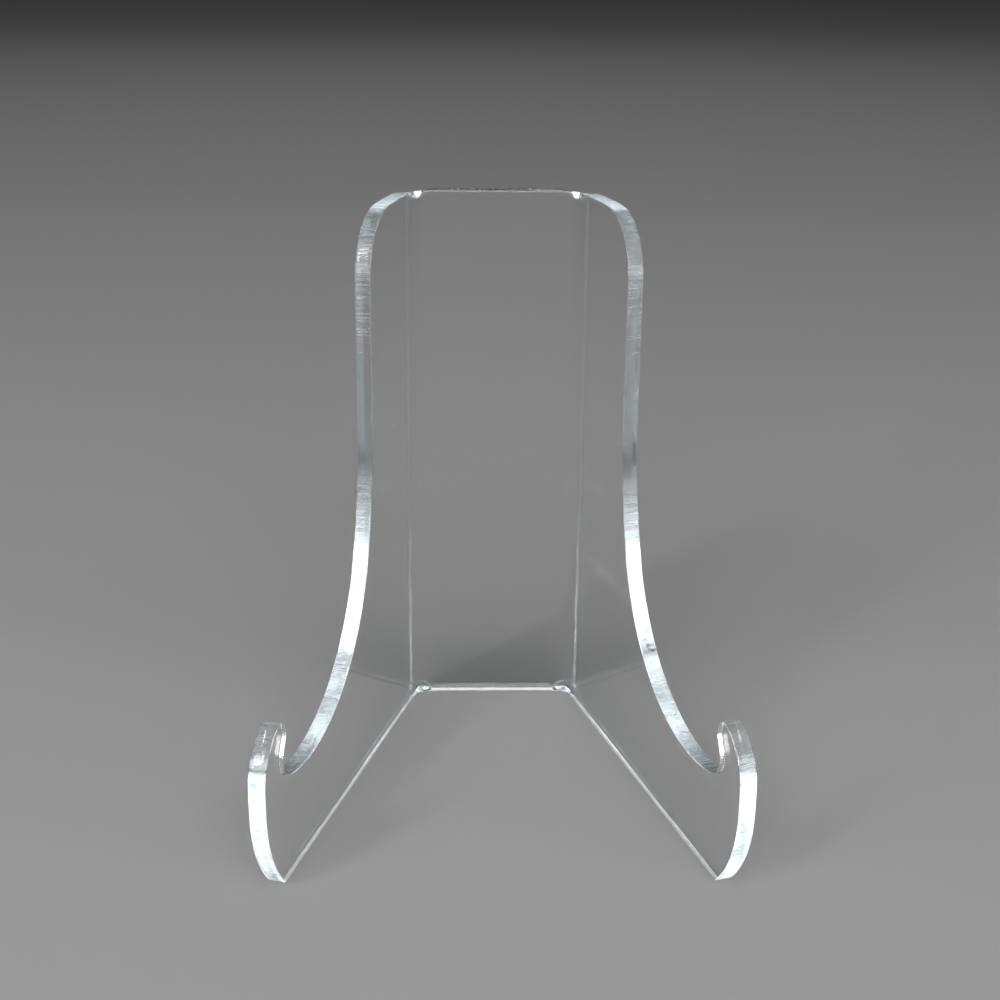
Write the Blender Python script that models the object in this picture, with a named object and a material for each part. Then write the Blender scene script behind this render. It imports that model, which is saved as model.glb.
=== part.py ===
"""Display stand bent from one sheet of clear acrylic.

One flat blank is cut to outline and then folded forward along two upright lines.
The middle becomes the back panel, and each side becomes a wing that splays outwards.
A wing has a rounded shoulder and an upright front edge, which sweeps forward and down
to a notch, an upturned hook and a rounded foot. The whole lower edge is one straight
cut, so the folded stand is level on it.

Metres, +Z up, front towards -Y. The origin is on the table, in the middle of the
stand's bounding box.
"""

import math

import bmesh
import bpy

# Sheet
SHEET_THICKNESS = 0.006
SHEET_HEIGHT = 0.209

# Folds: the panel is measured between the corners where the flat inner faces would meet
PANEL_WIDTH = 0.062
FOLD_TURN = math.radians(74)
FOLD_INNER_RADIUS = 0.006
FOLD_FACETS = 12

# Wing outline, in order from the fold line along the top and down the front.
# Radii are in metres and turns in degrees.
TOP_RUN = 0.0178
TOP_EASE_RADIUS = 0.092
TOP_EASE_TURN = 6.5
SHOULDER_RADIUS = 0.0227
FRONT_RUN = 0.051
WAIST_RADIUS = 0.174
WAIST_TURN = 17.5
SWEEP_RADIUS = 0.068
SWEEP_TURN = 87.5
NOTCH_RADIUS = 0.008
NOTCH_TURN = 104
HOOK_RUN = 0.003
HOOK_TIP_RADIUS = 0.0055
HOOK_TIP_TURN = 137
NOSE_RADIUS = 0.0184
NOSE_RUN = 0.0074
FOOT_RADIUS = 0.0475

# Widest turn between two points of an arc, in degrees
ARC_STEP = 4

ACRYLIC_COLOUR = (0.90, 0.93, 0.94, 1.0)
ACRYLIC_ROUGHNESS = 0.04
ACRYLIC_IOR = 1.49
SHARP_EDGE = math.radians(30)


class OutlinePen:
    """Draws straight runs and the arcs tangent to them; headings are in degrees."""

    def __init__(self, along, height):
        self.points = [(along, height)]
        self.heading = 0.0

    def run(self, length):
        along, height = self.points[-1]
        direction = math.radians(self.heading)
        self.points.append((along + length * math.cos(direction), height + length * math.sin(direction)))

    def arc(self, radius, turn):
        """Turn left for a positive angle and right for a negative one."""
        along, height = self.points[-1]
        side = math.copysign(radius, turn)
        start = math.radians(self.heading)
        centre_along = along - side * math.sin(start)
        centre_height = height + side * math.cos(start)
        steps = math.ceil(abs(turn) / ARC_STEP)
        for step in range(1, steps + 1):
            direction = start + math.radians(turn) * step / steps
            self.points.append((
                centre_along + side * math.sin(direction),
                centre_height - side * math.cos(direction),
            ))
        self.heading += turn


def flat_half_panel():
    """Half of the panel's flat width, up to where the fold begins."""
    return PANEL_WIDTH / 2 - FOLD_INNER_RADIUS * math.tan(FOLD_TURN / 2)


def fold_length():
    """Length of sheet taken up by one fold, along its inner face."""
    return FOLD_INNER_RADIUS * FOLD_TURN


def half_outline():
    """One side of the flat blank, from the middle of the top edge to the tip of the foot."""
    pen = OutlinePen(0.0, SHEET_HEIGHT)
    pen.run(flat_half_panel() + fold_length() + TOP_RUN)
    pen.arc(TOP_EASE_RADIUS, -TOP_EASE_TURN)
    pen.arc(SHOULDER_RADIUS, TOP_EASE_TURN - 90)
    pen.run(FRONT_RUN)
    pen.arc(WAIST_RADIUS, WAIST_TURN)
    pen.arc(SWEEP_RADIUS, SWEEP_TURN)
    pen.arc(NOTCH_RADIUS, NOTCH_TURN)
    pen.run(HOOK_RUN)
    pen.arc(HOOK_TIP_RADIUS, -HOOK_TIP_TURN)
    pen.arc(NOSE_RADIUS, -90 - pen.heading)
    pen.run(NOSE_RUN)
    foot_height = pen.points[-1][1]
    pen.arc(FOOT_RADIUS, -math.degrees(math.asin(foot_height / FOOT_RADIUS)))
    return pen.points


def blank_outline():
    """The whole flat blank: one side, then its mirror image back to the top."""
    right = half_outline()
    left = [(-along, height) for along, height in reversed(right) if along > 0]
    return right[1:] + left


def fold_columns():
    """Distances from the middle of the blank at which the folds need an edge."""
    return [flat_half_panel() + fold_length() * facet / FOLD_FACETS for facet in range(FOLD_FACETS + 1)]


def folded(along, back, height):
    """Where a point of the flat blank ends up; back is its distance behind the inner face."""
    distance = abs(along)
    flat = flat_half_panel()
    if distance <= flat:
        return along, back, height
    turn = min((distance - flat) / FOLD_INNER_RADIUS, FOLD_TURN)
    wing = max(distance - flat - fold_length(), 0.0)
    radius = FOLD_INNER_RADIUS + back
    x = flat + radius * math.sin(turn) + wing * math.cos(turn)
    y = radius * math.cos(turn) - FOLD_INNER_RADIUS - wing * math.sin(turn)
    return math.copysign(x, along), y, height


def cut_blank(bm):
    """The flat blank as a closed slab, with its inner face at y = 0."""
    face = bm.faces.new([bm.verts.new((along, 0.0, height)) for along, height in blank_outline()])
    extruded = bmesh.ops.extrude_face_region(bm, geom=[face], use_keep_orig=True)
    moved = [item for item in extruded["geom"] if isinstance(item, bmesh.types.BMVert)]
    bmesh.ops.translate(bm, vec=(0.0, SHEET_THICKNESS, 0.0), verts=moved)
    for column in fold_columns():
        for side in (-1, 1):
            geometry = bm.verts[:] + bm.edges[:] + bm.faces[:]
            bmesh.ops.bisect_plane(
                bm, geom=geometry, plane_co=(side * column, 0.0, 0.0), plane_no=(1.0, 0.0, 0.0)
            )
    bmesh.ops.recalc_face_normals(bm, faces=bm.faces)


def fold_blank(bm):
    """Fold both wings forward, then centre the stand's footprint on the origin."""
    for vert in bm.verts:
        vert.co = folded(*vert.co)
    front = min(vert.co.y for vert in bm.verts)
    back = max(vert.co.y for vert in bm.verts)
    bmesh.ops.translate(bm, vec=(0.0, -(front + back) / 2, 0.0), verts=bm.verts)


def clear_acrylic():
    material = bpy.data.materials.new("clear_acrylic")
    material.use_nodes = True
    shader = material.node_tree.nodes["Principled BSDF"]
    shader.inputs["Base Color"].default_value = ACRYLIC_COLOUR
    shader.inputs["Roughness"].default_value = ACRYLIC_ROUGHNESS
    shader.inputs["Metallic"].default_value = 0.0
    shader.inputs["IOR"].default_value = ACRYLIC_IOR
    shader.inputs["Transmission Weight"].default_value = 1.0
    return material


def bent_acrylic_sheet():
    bm = bmesh.new()
    cut_blank(bm)
    fold_blank(bm)
    mesh = bpy.data.meshes.new("bent_acrylic_sheet")
    bm.to_mesh(mesh)
    bm.free()
    mesh.materials.append(clear_acrylic())
    mesh.shade_smooth()
    mesh.set_sharp_from_angle(angle=SHARP_EDGE)
    sheet = bpy.data.objects.new("bent_acrylic_sheet", mesh)
    bpy.context.scene.collection.objects.link(sheet)
    return sheet


def main():
    for existing in list(bpy.data.objects):
        bpy.data.objects.remove(existing, do_unlink=True)
    bent_acrylic_sheet()


main()
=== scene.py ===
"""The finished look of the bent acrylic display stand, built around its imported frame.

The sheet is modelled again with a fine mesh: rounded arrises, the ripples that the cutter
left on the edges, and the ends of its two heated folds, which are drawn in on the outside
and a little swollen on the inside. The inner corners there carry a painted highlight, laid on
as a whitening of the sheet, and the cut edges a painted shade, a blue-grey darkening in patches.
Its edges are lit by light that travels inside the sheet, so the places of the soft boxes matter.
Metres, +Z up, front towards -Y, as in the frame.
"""

import math
import random

import bmesh
import bpy
from mathutils import Euler, Matrix, Vector


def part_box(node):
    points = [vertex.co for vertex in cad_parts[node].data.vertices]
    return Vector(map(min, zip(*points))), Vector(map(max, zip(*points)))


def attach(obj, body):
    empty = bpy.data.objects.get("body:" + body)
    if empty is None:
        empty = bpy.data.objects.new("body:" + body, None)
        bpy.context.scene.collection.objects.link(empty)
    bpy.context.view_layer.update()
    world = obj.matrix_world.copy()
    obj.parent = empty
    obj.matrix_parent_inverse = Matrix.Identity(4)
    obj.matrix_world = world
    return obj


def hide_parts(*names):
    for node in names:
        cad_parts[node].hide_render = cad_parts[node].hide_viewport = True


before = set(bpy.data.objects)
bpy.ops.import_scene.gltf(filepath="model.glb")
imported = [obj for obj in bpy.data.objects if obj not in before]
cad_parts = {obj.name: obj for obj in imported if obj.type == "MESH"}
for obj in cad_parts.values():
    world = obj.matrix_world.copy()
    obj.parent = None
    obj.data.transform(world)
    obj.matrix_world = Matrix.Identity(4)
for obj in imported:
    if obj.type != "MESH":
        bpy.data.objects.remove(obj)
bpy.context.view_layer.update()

NODE = "bent_acrylic_sheet"
LOW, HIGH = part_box(NODE)

# Sheet and folds, as in the frame. The panel is measured between the corners where the flat inner
# faces would meet.
SHEET_THICKNESS = 0.006
SHEET_HEIGHT = HIGH.z - LOW.z
PANEL_WIDTH = 0.062
FOLD_TURN = math.radians(74)
FOLD_INNER_RADIUS = 0.006
FLAT_HALF_PANEL = PANEL_WIDTH / 2 - FOLD_INNER_RADIUS * math.tan(FOLD_TURN / 2)
FOLD_LENGTH = FOLD_INNER_RADIUS * FOLD_TURN
INNER_FACE_Y = HIGH.y - SHEET_THICKNESS
MIDDLE = Vector((0.0, 0.0, LOW.z + SHEET_HEIGHT / 2))

# Wing outline from the end of the fold: radii in metres, turns in degrees
TOP_RUN = 0.0178
TOP_EASE_RADIUS = 0.092
TOP_EASE_TURN = 6.5
SHOULDER_RADIUS = 0.0227
FRONT_RUN = 0.051
WAIST_RADIUS = 0.174
WAIST_TURN = 17.5
SWEEP_RADIUS = 0.068
SWEEP_TURN = 87.5
NOTCH_RADIUS = 0.008
NOTCH_TURN = 104
HOOK_RUN = 0.003
HOOK_TIP_RADIUS = 0.0055
HOOK_TIP_TURN = 137
NOSE_RADIUS = 0.0184
NOSE_RUN = 0.0074
FOOT_RADIUS = 0.0475
FOOT_CORNER_RADIUS = 0.0008

# Arrises, and a narrow strip of flat face beside them that keeps their smooth shading off the faces
ARRIS_RADIUS = 0.0004
HOLDING_STRIP = 0.0002

# Mesh fineness: steps along the outline, across a fold and beside it, round an arris and across the cut
EDGE_STEP = 0.0003
FOLD_FACETS = 24
FOLD_MARGIN = 0.009
MARGIN_STEP = 0.0005
ARRIS_FACETS = 3
BAND_ROWS = 4
# Rows of points on each face near the ends of a fold, by their distance from the cut edge
END_ROWS = (
    0.0009, 0.0012, 0.0015, 0.0018, 0.0021, 0.0024, 0.0028,
    0.0032, 0.0036, 0.0042, 0.005, 0.0065, 0.009,
)

# Ripples that the cutter left across the cut edges, in the mesh
RIPPLE_DEPTH = 0.00002
RIPPLE_PITCH = 0.0011
RIPPLE_SEED = 3
WOBBLE_DEPTH = 0.000015
WOBBLE_PITCH = 0.006
WOBBLE_SEED = 8
RIPPLE_SLANT = 0.06

# Finer lines of the cut, in the material: grooves where a noise is high, in patches of more and fewer
FINE_LINE_PITCH = 0.0007
FINE_LINE_REACH = 0.05
FINE_LINE_DEPTH = 0.00004
FINE_LINE_LEVELS = (0.47, 0.62)
FINE_LINE_GRAIN = 0.7
PATCH_PITCH = 0.011
PATCH_GRAIN = 0.6
PATCH_LEVELS = (0.4, 0.6)
PATCH_LEAST = 0.4
CUT_DETAIL = 2.0
# The cutter ran quietly down the straight of the front edges: heights between which the lines
# fade out and come back, and what is left of them in between
CALM_BOTTOM = (0.109, 0.119)
CALM_TOP = (0.153, 0.166)
CALM_LEAST = 0.15

# Finish of the sheet. Pairs on the cut edges go from outside a groove to inside one,
# and the tones, a painted shade that darkens the cut edges to a blue-grey, from one end of the
# patch noise to the other.
ACRYLIC_IOR = 1.49
ACRYLIC_TINT = (0.9, 0.94, 0.955, 1.0)
ACRYLIC_DENSITY = 8.0
CUT_ROUGHNESS = (0.05, 0.38)
CUT_CLARITY = (1.0, 0.92)
PAINTED_CUT_SHADE_TONES = ((0.8, 0.845, 0.865, 1.0), (0.9, 0.92, 0.93, 1.0))
FACE_TONE = (1.0, 1.0, 1.0, 1.0)
FACE_ROUGHNESS = (0.0, 0.03)
SMUDGE_SCALE = 60.0
SMUDGE_LEVELS = (0.4, 0.7)
SMUDGE_DETAIL = 3.0

# The heated folds draw in at their ends. Neck: the outside is pulled towards the middle of the
# fold's length. Pinch: the sheet thins from the outside. Swell: the inside bulges a little.
NECK_DEPTH = 0.0012
NECK_SPREAD = 0.0042
NECK_REACH = 0.0035
PINCH_DEPTH = 0.0024
PINCH_SPREAD = 0.0032
PINCH_REACH = 0.0036
SWELL_DEPTH = 0.0004
SWELL_SPREAD = 0.0026
SWELL_DROP = 0.0012
SWELL_REACH = 0.0016

# Painted highlight: the inner corners at the ends of the folds are whitened, broken up by a fine speckle
HIGHLIGHT_SPREAD = 0.0019
HIGHLIGHT_REACH = 0.0026
HIGHLIGHT_AT_BOTTOM = 0.4
HIGHLIGHT_LEVELS = (0.3, 0.7)
HIGHLIGHT_CLARITY = 0.15
SPECKLE_SCALE = 900.0
SPECKLE_DETAIL = 2.0
SPECKLE_BASE = 0.6

# Floor and lights
FLOOR_TONE = 0.27
FLOOR_ROUGHNESS = 0.7
FLOOR_HALF = 6.0
FLOOR_GAP = 0.0001
STUDIO_TONE = (0.03, 0.03, 0.032, 1.0)
LIGHT_DISTANCE = 3.0
# Soft boxes as (name, azimuth, elevation, (width, height), brightness): angles in degrees, and the
# radiance as the brightness
SOFT_BOXES = (
    ("front_box", 0.0, 23.0, (2.5, 2.7), 5.2),
    ("left_low_box", -44.0, 7.5, (2.35, 0.95), 6.0),
    ("right_low_box", 44.0, 7.5, (2.35, 0.95), 6.0),
    ("left_side_box", -45.0, 34.0, (2.4, 1.7), 1.5),
    ("right_side_box", 45.0, 34.0, (2.4, 1.7), 1.5),
    ("high_box", 0.0, 62.0, (4.3, 1.1), 1.0),
    ("back_box", 180.0, 30.0, (2.6, 1.1), 0.7),
    ("left_strip", -42.0, 32.0, (0.3, 1.6), 14.0),
    ("top_lamp", 0.0, 80.0, (0.3, 0.3), 22.0),
)

# Camera, measured from the middle of the panel's lower edge on its inner face
CAMERA_LENS = 62.04
CAMERA_CLIP = 0.01
CAMERA_OFFSET = (-0.0161, -0.6503, 0.3203)
CAMERA_PITCH = math.radians(19.884)
CAMERA_YAW = math.radians(-1.63)
CAMERA_ROLL = math.radians(0.604)

MOST_BOUNCES = 48


class OutlinePen:
    """Walks an outline in fine steps and keeps each point with the heading there, in degrees."""

    def __init__(self, along, height):
        self.along = along
        self.height = height
        self.heading = 0.0
        self.marks = []

    def mark(self):
        self.marks.append((self.along, self.height, self.heading))

    def run(self, length):
        steps = max(1, round(length / EDGE_STEP))
        direction = math.radians(self.heading)
        for _ in range(steps):
            self.along += length / steps * math.cos(direction)
            self.height += length / steps * math.sin(direction)
            self.mark()

    def arc(self, radius, turn):
        """Turn left for a positive angle and right for a negative one."""
        side = math.copysign(radius, turn)
        start = math.radians(self.heading)
        centre_along = self.along - side * math.sin(start)
        centre_height = self.height + side * math.cos(start)
        steps = max(2, round(radius * math.radians(abs(turn)) / EDGE_STEP))
        opening = self.heading
        for step in range(1, steps + 1):
            self.heading = opening + turn * step / steps
            direction = math.radians(self.heading)
            self.along = centre_along + side * math.sin(direction)
            self.height = centre_height - side * math.cos(direction)
            self.mark()


def even_steps(start, end, step):
    """Evenly spaced numbers from start up to the last one before end, about a step apart."""
    count = max(1, round((end - start) / step))
    return [start + (end - start) * i / count for i in range(count)]


def fold_zone():
    """Distances from the middle that carry an upright line of points, across a fold and beside it."""
    fold_end = FLAT_HALF_PANEL + FOLD_LENGTH
    before = even_steps(FLAT_HALF_PANEL - FOLD_MARGIN, FLAT_HALF_PANEL, MARGIN_STEP)
    across = even_steps(FLAT_HALF_PANEL, fold_end, FOLD_LENGTH / FOLD_FACETS)
    after = even_steps(fold_end, fold_end + FOLD_MARGIN, MARGIN_STEP)
    return before + across + after + [fold_end + FOLD_MARGIN]


def half_outline():
    """One side of the flat blank, from the middle of the top to the middle of the bottom."""
    zone = fold_zone()
    straight = even_steps(0.0, zone[0], MARGIN_STEP) + zone
    top = [(along, SHEET_HEIGHT, 0.0) for along in straight]
    pen = OutlinePen(zone[-1], SHEET_HEIGHT)
    pen.run(FLAT_HALF_PANEL + FOLD_LENGTH + TOP_RUN - zone[-1])
    pen.arc(TOP_EASE_RADIUS, -TOP_EASE_TURN)
    pen.arc(SHOULDER_RADIUS, TOP_EASE_TURN - 90)
    pen.run(FRONT_RUN)
    pen.arc(WAIST_RADIUS, WAIST_TURN)
    pen.arc(SWEEP_RADIUS, SWEEP_TURN)
    pen.arc(NOTCH_RADIUS, NOTCH_TURN)
    pen.run(HOOK_RUN)
    pen.arc(HOOK_TIP_RADIUS, -HOOK_TIP_TURN)
    pen.arc(NOSE_RADIUS, -90 - pen.heading)
    pen.run(NOSE_RUN)
    foot_turn = math.degrees(math.asin(
        (pen.height - FOOT_CORNER_RADIUS) / (FOOT_RADIUS - FOOT_CORNER_RADIUS)
    ))
    pen.arc(FOOT_RADIUS, -foot_turn)
    pen.arc(FOOT_CORNER_RADIUS, foot_turn - 90)
    pen.run(pen.along - zone[-1])
    bottom = [(along, 0.0, -180.0) for along in reversed(straight)]
    return top + pen.marks + bottom[1:]


def blank_outline():
    """The whole flat blank, clockwise from the middle of the top, as (along, height, heading)."""
    right = half_outline()
    left = [(-along, height, -heading) for along, height, heading in reversed(right)]
    return right + left[1:-1]


def hump(distance, spread):
    """1 at no distance, dying away smoothly on both sides."""
    return math.exp(-(distance / spread) ** 2)


def folded(along, back, height):
    """Where a point of the flat blank ends up; back is its distance behind the inner face."""
    distance = abs(along)
    beside = distance - FLAT_HALF_PANEL - FOLD_LENGTH / 2
    outer = back / SHEET_THICKNESS
    drop = SHEET_HEIGHT - height
    swell = hump(drop - SWELL_DROP, SWELL_REACH) + hump(height - SWELL_DROP, SWELL_REACH)
    back -= SWELL_DEPTH * hump(beside, SWELL_SPREAD) * (1 - outer) * swell
    pinch = max(0.0, 1 - min(height, drop) / PINCH_REACH) ** 2
    back -= PINCH_DEPTH * hump(beside, PINCH_SPREAD) * outer * pinch
    neck = math.exp(-height / NECK_REACH) - math.exp(-drop / NECK_REACH)
    height += NECK_DEPTH * hump(beside, NECK_SPREAD) * outer * neck
    turn = min(max(distance - FLAT_HALF_PANEL, 0.0) / FOLD_INNER_RADIUS, FOLD_TURN)
    wing = max(distance - FLAT_HALF_PANEL - FOLD_LENGTH, 0.0)
    radius = FOLD_INNER_RADIUS + back
    x = min(distance, FLAT_HALF_PANEL) + radius * math.sin(turn) + wing * math.cos(turn)
    y = radius * math.cos(turn) - FOLD_INNER_RADIUS - wing * math.sin(turn)
    return Vector((math.copysign(x, along), INNER_FACE_Y + y, LOW.z + height))


def painted_highlight(along, back, height):
    """How strong the painted highlight is, from 0 to 1: a whitening of the inner corners at the ends of
    each heated fold.
    """
    beside = abs(along) - FLAT_HALF_PANEL - FOLD_LENGTH / 2
    ends = hump(SHEET_HEIGHT - height, HIGHLIGHT_REACH) + HIGHLIGHT_AT_BOTTOM * hump(height, HIGHLIGHT_REACH)
    return hump(beside, HIGHLIGHT_SPREAD) * ends * (1 - back / SHEET_THICKNESS)


class Ripples:
    """Smooth irregular height along the cut, from random heights at an even pitch."""

    def __init__(self, pitch, depth, length, seed):
        generator = random.Random(seed)
        count = round(length / pitch)
        self.pitch = length / count
        self.heights = [generator.uniform(0.0, depth) for _ in range(count)]

    def at(self, distance):
        place = distance / self.pitch
        first = math.floor(place)
        part = place - first
        part = part * part * (3 - 2 * part)
        count = len(self.heights)
        return self.heights[first % count] * (1 - part) + self.heights[(first + 1) % count] * part


def edge_profile():
    """Rings round the blank from the inner face to the outer one: (inset, back, on the cut band)."""
    rings = [(ARRIS_RADIUS + HOLDING_STRIP, 0.0, False)]
    for facet in range(ARRIS_FACETS + 1):
        angle = math.pi / 2 * facet / ARRIS_FACETS
        inset = ARRIS_RADIUS * (1 - math.sin(angle))
        rings.append((inset, ARRIS_RADIUS * (1 - math.cos(angle)), facet == ARRIS_FACETS))
    band = SHEET_THICKNESS - 2 * ARRIS_RADIUS
    for row in range(1, BAND_ROWS):
        rings.append((0.0, ARRIS_RADIUS + band * row / BAND_ROWS, True))
    inner_arris = rings[:ARRIS_FACETS + 2]
    return rings + [(inset, SHEET_THICKNESS - back, cut) for inset, back, cut in reversed(inner_arris)]


def travelled(outline):
    """Distance along the outline at each of its points, and its whole length."""
    total = 0.0
    distances = []
    for point, following in zip(outline, outline[1:] + outline[:1]):
        distances.append(total)
        total += math.dist(point[:2], following[:2])
    return distances, total


def ring_points(outline, distances, length):
    """Flat positions of every ring's points, with the cutter's ripples on the cut band."""
    ripples = Ripples(RIPPLE_PITCH, RIPPLE_DEPTH, length, RIPPLE_SEED)
    wobble = Ripples(WOBBLE_PITCH, WOBBLE_DEPTH, length, WOBBLE_SEED)
    rings = []
    for inset, back, cut in edge_profile():
        ring = []
        for (along, height, heading), distance in zip(outline, distances):
            inwards = inset
            if cut:
                slanted = distance + RIPPLE_SLANT * back
                inwards += ripples.at(slanted) + wobble.at(slanted)
            direction = math.radians(heading)
            ring.append((
                along + inwards * math.sin(direction), back, height - inwards * math.cos(direction)
            ))
        rings.append(ring)
    return rings


class SheetMesh:
    """The folded sheet as one closed mesh: rings round the edge, then a cap on each face."""

    def __init__(self):
        self.outline = blank_outline()
        self.distances, self.length = travelled(self.outline)
        self.bm = bmesh.new()
        self.uv = self.bm.loops.layers.uv.new("blank")
        self.cut = self.bm.faces.layers.float.new("cut_edge")
        # a layer for the painted highlight, the whitening at the fold corners
        self.painted_highlight = self.bm.verts.layers.float.new("painted_highlight")
        self.flat = {}

    def point(self, along, back, height):
        vert = self.bm.verts.new(folded(along, back, height))
        # the painted highlight's strength at this point
        vert[self.painted_highlight] = painted_highlight(along, back, height)
        self.flat[vert] = (along, back, height)
        return vert

    def cap_face(self, verts):
        face = self.bm.faces.new(verts)
        for loop in face.loops:
            along, _, height = self.flat[loop.vert]
            loop[self.uv].uv = (along, height)

    def edge_rings(self):
        rings = ring_points(self.outline, self.distances, self.length)
        verts = [[self.point(*place) for place in ring] for ring in rings]
        ends = self.distances + [self.length]
        cut_rings = [cut for _, _, cut in edge_profile()]
        for ring in range(len(verts) - 1):
            for here in range(len(self.outline)):
                there = (here + 1) % len(self.outline)
                corners = (
                    (verts[ring][here], ends[here]),
                    (verts[ring][there], ends[here + 1]),
                    (verts[ring + 1][there], ends[here + 1]),
                    (verts[ring + 1][here], ends[here]),
                )
                face = self.bm.faces.new([vert for vert, _ in corners])
                face[self.cut] = float(cut_rings[ring] and cut_rings[ring + 1])
                for loop, (vert, distance) in zip(face.loops, corners):
                    loop[self.uv].uv = (distance, self.flat[vert][1])
        return verts[0], verts[-1]

    def columns(self, ring, side):
        """The upright lines of points across one fold, each from the top edge to the bottom edge."""
        half = len(ring) // 2
        zone = fold_zone()
        first = len(even_steps(0.0, zone[0], MARGIN_STEP))
        heights = [SHEET_HEIGHT - row for row in END_ROWS] + list(reversed(END_ROWS))
        lines = []
        for place, along in enumerate(zone, start=first):
            top = ring[side * place % len(ring)]
            bottom = ring[half - side * place]
            back = self.flat[top][1]
            inner = [self.point(side * along, back, height) for height in heights]
            lines.append([top, *inner, bottom])
        return first, lines

    def cap(self, ring):
        half = len(ring) // 2
        first, right = self.columns(ring, 1)
        _, left = self.columns(ring, -1)
        last = first + len(right) - 1
        for lines in (right, left):
            for line, following in zip(lines, lines[1:]):
                for row in range(len(line) - 1):
                    self.cap_face((line[row], following[row], following[row + 1], line[row + 1]))
        top = ring[len(ring) - first:] + ring[:first + 1]
        bottom = ring[half - first:half + first + 1]
        self.cap_face(top + right[0][1:-1] + bottom + left[0][-2:0:-1])
        self.cap_face(ring[last:half - last + 1] + right[-1][-2:0:-1])
        self.cap_face(ring[half + last:len(ring) - last + 1] + left[-1][1:-1])

    def finish(self, name):
        inner, outer = self.edge_rings()
        self.cap(inner)
        self.cap(outer)
        bmesh.ops.recalc_face_normals(self.bm, faces=self.bm.faces)
        mesh = bpy.data.meshes.new(name)
        self.bm.to_mesh(mesh)
        self.bm.free()
        mesh.shade_smooth()
        return mesh


class NodeMaterial:
    """A material with its shader, and short ways to add and link nodes.

    A Mix node's numbers are its inputs 2 and 3, and its colours are inputs 6 and 7 and output 2.
    """

    def __init__(self, name):
        self.material = bpy.data.materials.new(name)
        self.material.use_nodes = True
        self.tree = self.material.node_tree
        self.shader = self.tree.nodes["Principled BSDF"]

    def node(self, kind, inputs=None, **settings):
        node = self.tree.nodes.new(kind)
        for key, value in settings.items():
            setattr(node, key, value)
        for key, value in (inputs or {}).items():
            if isinstance(value, bpy.types.NodeSocket):
                self.tree.links.new(value, node.inputs[key])
            else:
                node.inputs[key].default_value = value
        return node

    def math(self, operation, first, second):
        return self.node("ShaderNodeMath", {0: first, 1: second}, operation=operation).outputs[0]

    def ramp(self, value, low, high, start, end):
        inputs = {"Value": value, "From Min": low, "From Max": high, "To Min": start, "To Max": end}
        return self.node("ShaderNodeMapRange", inputs).outputs[0]

    def product(self, first, *others):
        for other in others:
            first = self.math("MULTIPLY", first, other)
        return first

    def blend(self, amount, first, second):
        inputs = {"Factor": amount, 2: first, 3: second}
        return self.node("ShaderNodeMix", inputs, data_type="FLOAT").outputs[0]

    def blend_tones(self, amount, first, second):
        inputs = {"Factor": amount, 6: first, 7: second}
        return self.node("ShaderNodeMix", inputs, data_type="RGBA").outputs[2]

    def attribute(self, name):
        return self.node("ShaderNodeAttribute", attribute_name=name).outputs["Fac"]

    def place(self):
        return self.node("ShaderNodeTexCoord").outputs["Object"]

    def noise(self, vector, detail, roughness=0.6):
        inputs = {"Vector": vector, "Scale": 1.0, "Detail": detail, "Roughness": roughness}
        return self.node("ShaderNodeTexNoise", inputs).outputs["Fac"]

    def solid_noise(self, scale, detail):
        inputs = {0: self.place(), "Scale": scale}
        return self.noise(self.node("ShaderNodeVectorMath", inputs, operation="SCALE").outputs[0], detail)

    def shade(self, inputs):
        """Give the shader's inputs their links or values."""
        for name, value in inputs.items():
            if isinstance(value, bpy.types.NodeSocket):
                self.tree.links.new(value, self.shader.inputs[name])
            else:
                self.shader.inputs[name].default_value = value


def cut_noises(made):
    """Noises that run across the cut edges: fine lines, and patches that are longer than wide."""
    blank = made.node("ShaderNodeUVMap", uv_map="blank").outputs["UV"]
    parts = made.node("ShaderNodeSeparateXYZ", {"Vector": blank}).outputs
    slanted = made.math("ADD", parts["X"], made.math("MULTIPLY", parts["Y"], RIPPLE_SLANT))

    def noise(pitch, depth_pitch, roughness):
        x = made.math("DIVIDE", slanted, pitch)
        y = made.math("DIVIDE", parts["Y"], depth_pitch)
        return made.noise(
            made.node("ShaderNodeCombineXYZ", {"X": x, "Y": y}).outputs[0], CUT_DETAIL, roughness
        )

    lines = noise(FINE_LINE_PITCH, FINE_LINE_REACH, FINE_LINE_GRAIN)
    patches = noise(PATCH_PITCH, SHEET_THICKNESS, PATCH_GRAIN)
    return lines, patches


def stirred(made):
    """How strong the cut's lines are at each height: 1, or less where the cutter ran quietly."""
    height = made.node("ShaderNodeSeparateXYZ", {"Vector": made.place()}).outputs["Z"]
    below = made.ramp(height, *CALM_BOTTOM, 1.0, 0.0)
    above = made.ramp(height, *CALM_TOP, 0.0, 1.0)
    return made.ramp(made.math("ADD", below, above), 0.0, 1.0, CALM_LEAST, 1.0)


def painted_highlight_clarity(made):
    """What the painted highlight, a whitening of the folds' inner corners, leaves of the sheet's clarity.
    """
    speckle = made.math("ADD", made.solid_noise(SPECKLE_SCALE, SPECKLE_DETAIL), SPECKLE_BASE)
    return made.ramp(made.product(made.attribute("painted_highlight"), speckle), *HIGHLIGHT_LEVELS, 1.0, HIGHLIGHT_CLARITY)


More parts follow.
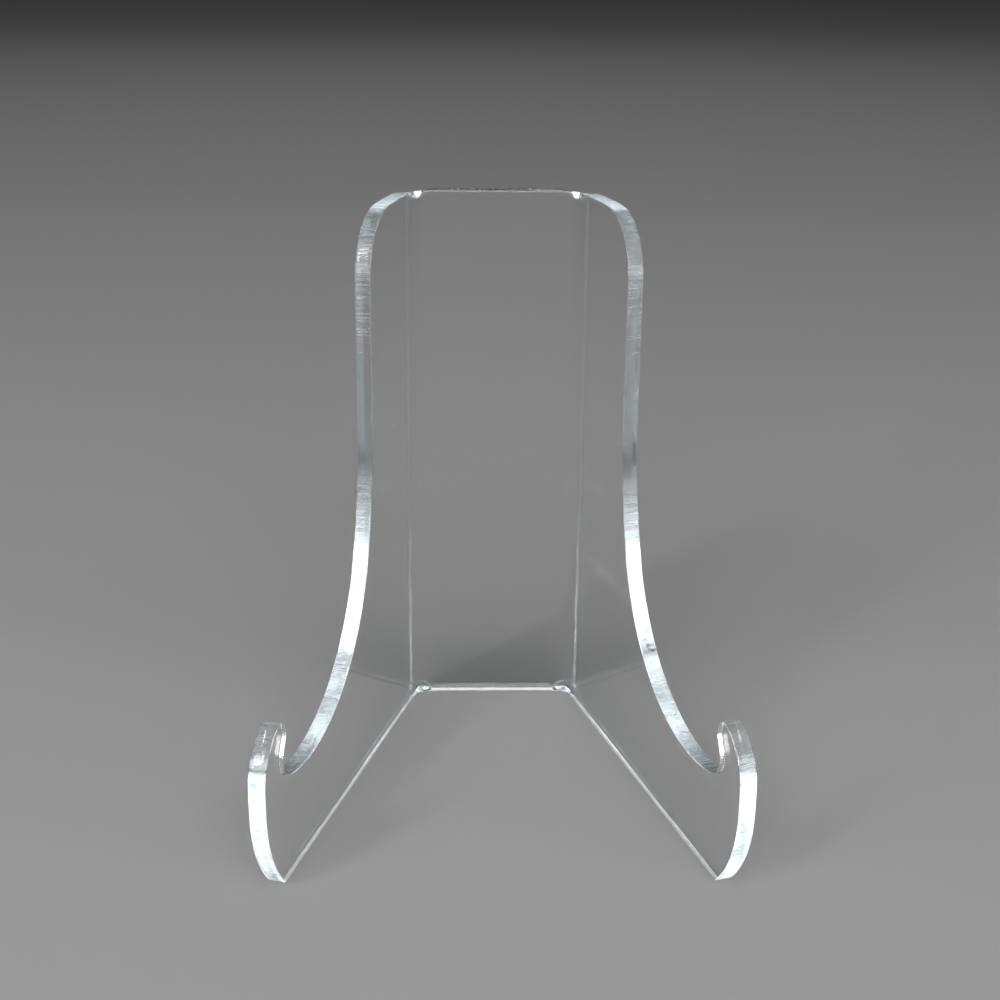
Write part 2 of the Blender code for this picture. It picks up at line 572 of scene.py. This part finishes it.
def clear_acrylic():
    """Polished faces, cut edges with fine lines across the thickness and a painted shade, a blue-grey
    darkening in patches, and a painted highlight: whitened fold corners.

    It is one material for all of them, because Cycles follows a ray inside a solid by the material
    that it entered through, and expects it to leave through the same one.
    """
    made = NodeMaterial("clear_acrylic_sheet")
    cut = made.attribute("cut_edge")
    lines, patches = cut_noises(made)
    depth = made.product(
        made.ramp(lines, *FINE_LINE_LEVELS, 0.0, 1.0),
        made.ramp(patches, *PATCH_LEVELS, PATCH_LEAST, 1.0),
    )
    grooves = made.product(depth, cut, stirred(made))
    smudges = made.solid_noise(SMUDGE_SCALE, SMUDGE_DETAIL)
    face_roughness = made.ramp(smudges, *SMUDGE_LEVELS, *FACE_ROUGHNESS)
    cut_roughness = made.ramp(grooves, 0.0, 1.0, *CUT_ROUGHNESS)
    bump = made.node(
        "ShaderNodeBump", {"Height": grooves, "Distance": FINE_LINE_DEPTH, "Strength": 1.0}, invert=True
    )
    made.shade({
        # painted shade: the cut edges' base colour is a blue-grey darkening, varying in patches
        "Base Color": made.blend_tones(cut, FACE_TONE, made.blend_tones(patches, *PAINTED_CUT_SHADE_TONES)),
        "Roughness": made.blend(cut, face_roughness, cut_roughness),
        "IOR": ACRYLIC_IOR,
        # painted highlight: the whitened fold corners let less light through, so they show white
        "Transmission Weight": made.product(made.ramp(grooves, 0.0, 1.0, *CUT_CLARITY), painted_highlight_clarity(made)),
        "Normal": bump.outputs["Normal"],
    })
    volume = made.node("ShaderNodeVolumeAbsorption", {"Color": ACRYLIC_TINT, "Density": ACRYLIC_DENSITY})
    made.tree.links.new(volume.outputs[0], made.tree.nodes["Material Output"].inputs["Volume"])
    return made.material


def bent_sheet():
    mesh = SheetMesh().finish("bent_sheet")
    mesh.materials.append(clear_acrylic())
    sheet = bpy.data.objects.new("bent_sheet", mesh)
    bpy.context.scene.collection.objects.link(sheet)
    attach(sheet, "root")
    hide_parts(NODE)


def floor():
    """A plain matt floor, flat out to the edge of the studio, without a glare from the soft boxes."""
    made = NodeMaterial("pale_floor")
    made.shade({
        "Base Color": (FLOOR_TONE, FLOOR_TONE, FLOOR_TONE, 1.0),
        "Roughness": FLOOR_ROUGHNESS,
        "Specular IOR Level": 0.0,
    })
    mesh = bpy.data.meshes.new("floor")
    bm = bmesh.new()
    corners = ((-1, -1), (1, -1), (1, 1), (-1, 1))
    bm.faces.new([bm.verts.new((x * FLOOR_HALF, y * FLOOR_HALF, LOW.z - FLOOR_GAP)) for x, y in corners])
    bm.to_mesh(mesh)
    bm.free()
    mesh.materials.append(made.material)
    ground = bpy.data.objects.new("floor", mesh)
    bpy.context.scene.collection.objects.link(ground)


def soft_box(name, azimuth, elevation, size, brightness):
    """A rectangular area light aimed at the stand, with the same brightness whatever its size."""
    width, height = size
    data = bpy.data.lights.new(name, "AREA")
    data.shape = "RECTANGLE"
    data.size = width
    data.size_y = height
    data.energy = brightness * math.pi * width * height
    light = bpy.data.objects.new(name, data)
    light.location = around(azimuth, elevation, LIGHT_DISTANCE)
    light.rotation_euler = (MIDDLE - light.location).to_track_quat("-Z", "Y").to_euler()
    light.visible_camera = False
    bpy.context.scene.collection.objects.link(light)


def around(azimuth, elevation, distance):
    """A place seen from the stand's middle; azimuth 0 is the front, and positive is its right."""
    azimuth, elevation = math.radians(azimuth), math.radians(elevation)
    level = distance * math.cos(elevation)
    return MIDDLE + Vector((
        level * math.sin(azimuth), -level * math.cos(azimuth), distance * math.sin(elevation)
    ))


def lighting():
    """Large soft boxes in front, above and behind, which the cut edges gather, and a dim studio."""
    for name, azimuth, elevation, size, brightness in SOFT_BOXES:
        soft_box(name, azimuth, elevation, size, brightness)
    world = bpy.data.worlds.new("studio")
    world.use_nodes = True
    world.node_tree.nodes["Background"].inputs["Color"].default_value = STUDIO_TONE
    bpy.context.scene.world = world


def camera():
    """Stands in front of the stand and a little left of it, looking down on it."""
    data = bpy.data.cameras.new("camera")
    data.lens = CAMERA_LENS
    data.clip_start = CAMERA_CLIP
    view = bpy.data.objects.new("camera", data)
    view.location = Vector((0.0, INNER_FACE_Y, LOW.z)) + Vector(CAMERA_OFFSET)
    aim = Euler((math.pi / 2 - CAMERA_PITCH, 0.0, CAMERA_YAW)).to_matrix()
    view.rotation_euler = (aim @ Matrix.Rotation(CAMERA_ROLL, 3, "Z")).to_euler()
    bpy.context.scene.collection.objects.link(view)
    bpy.context.scene.camera = view


def allow_long_light_paths():
    """Light that enters a cut edge is reflected many times between the faces before it leaves."""
    paths = bpy.context.scene.cycles
    paths.max_bounces = MOST_BOUNCES
    paths.glossy_bounces = MOST_BOUNCES
    paths.transmission_bounces = MOST_BOUNCES


bent_sheet()
floor()
lighting()
camera()
bpy.context.scene.view_settings.view_transform = "Standard"
allow_long_light_paths()
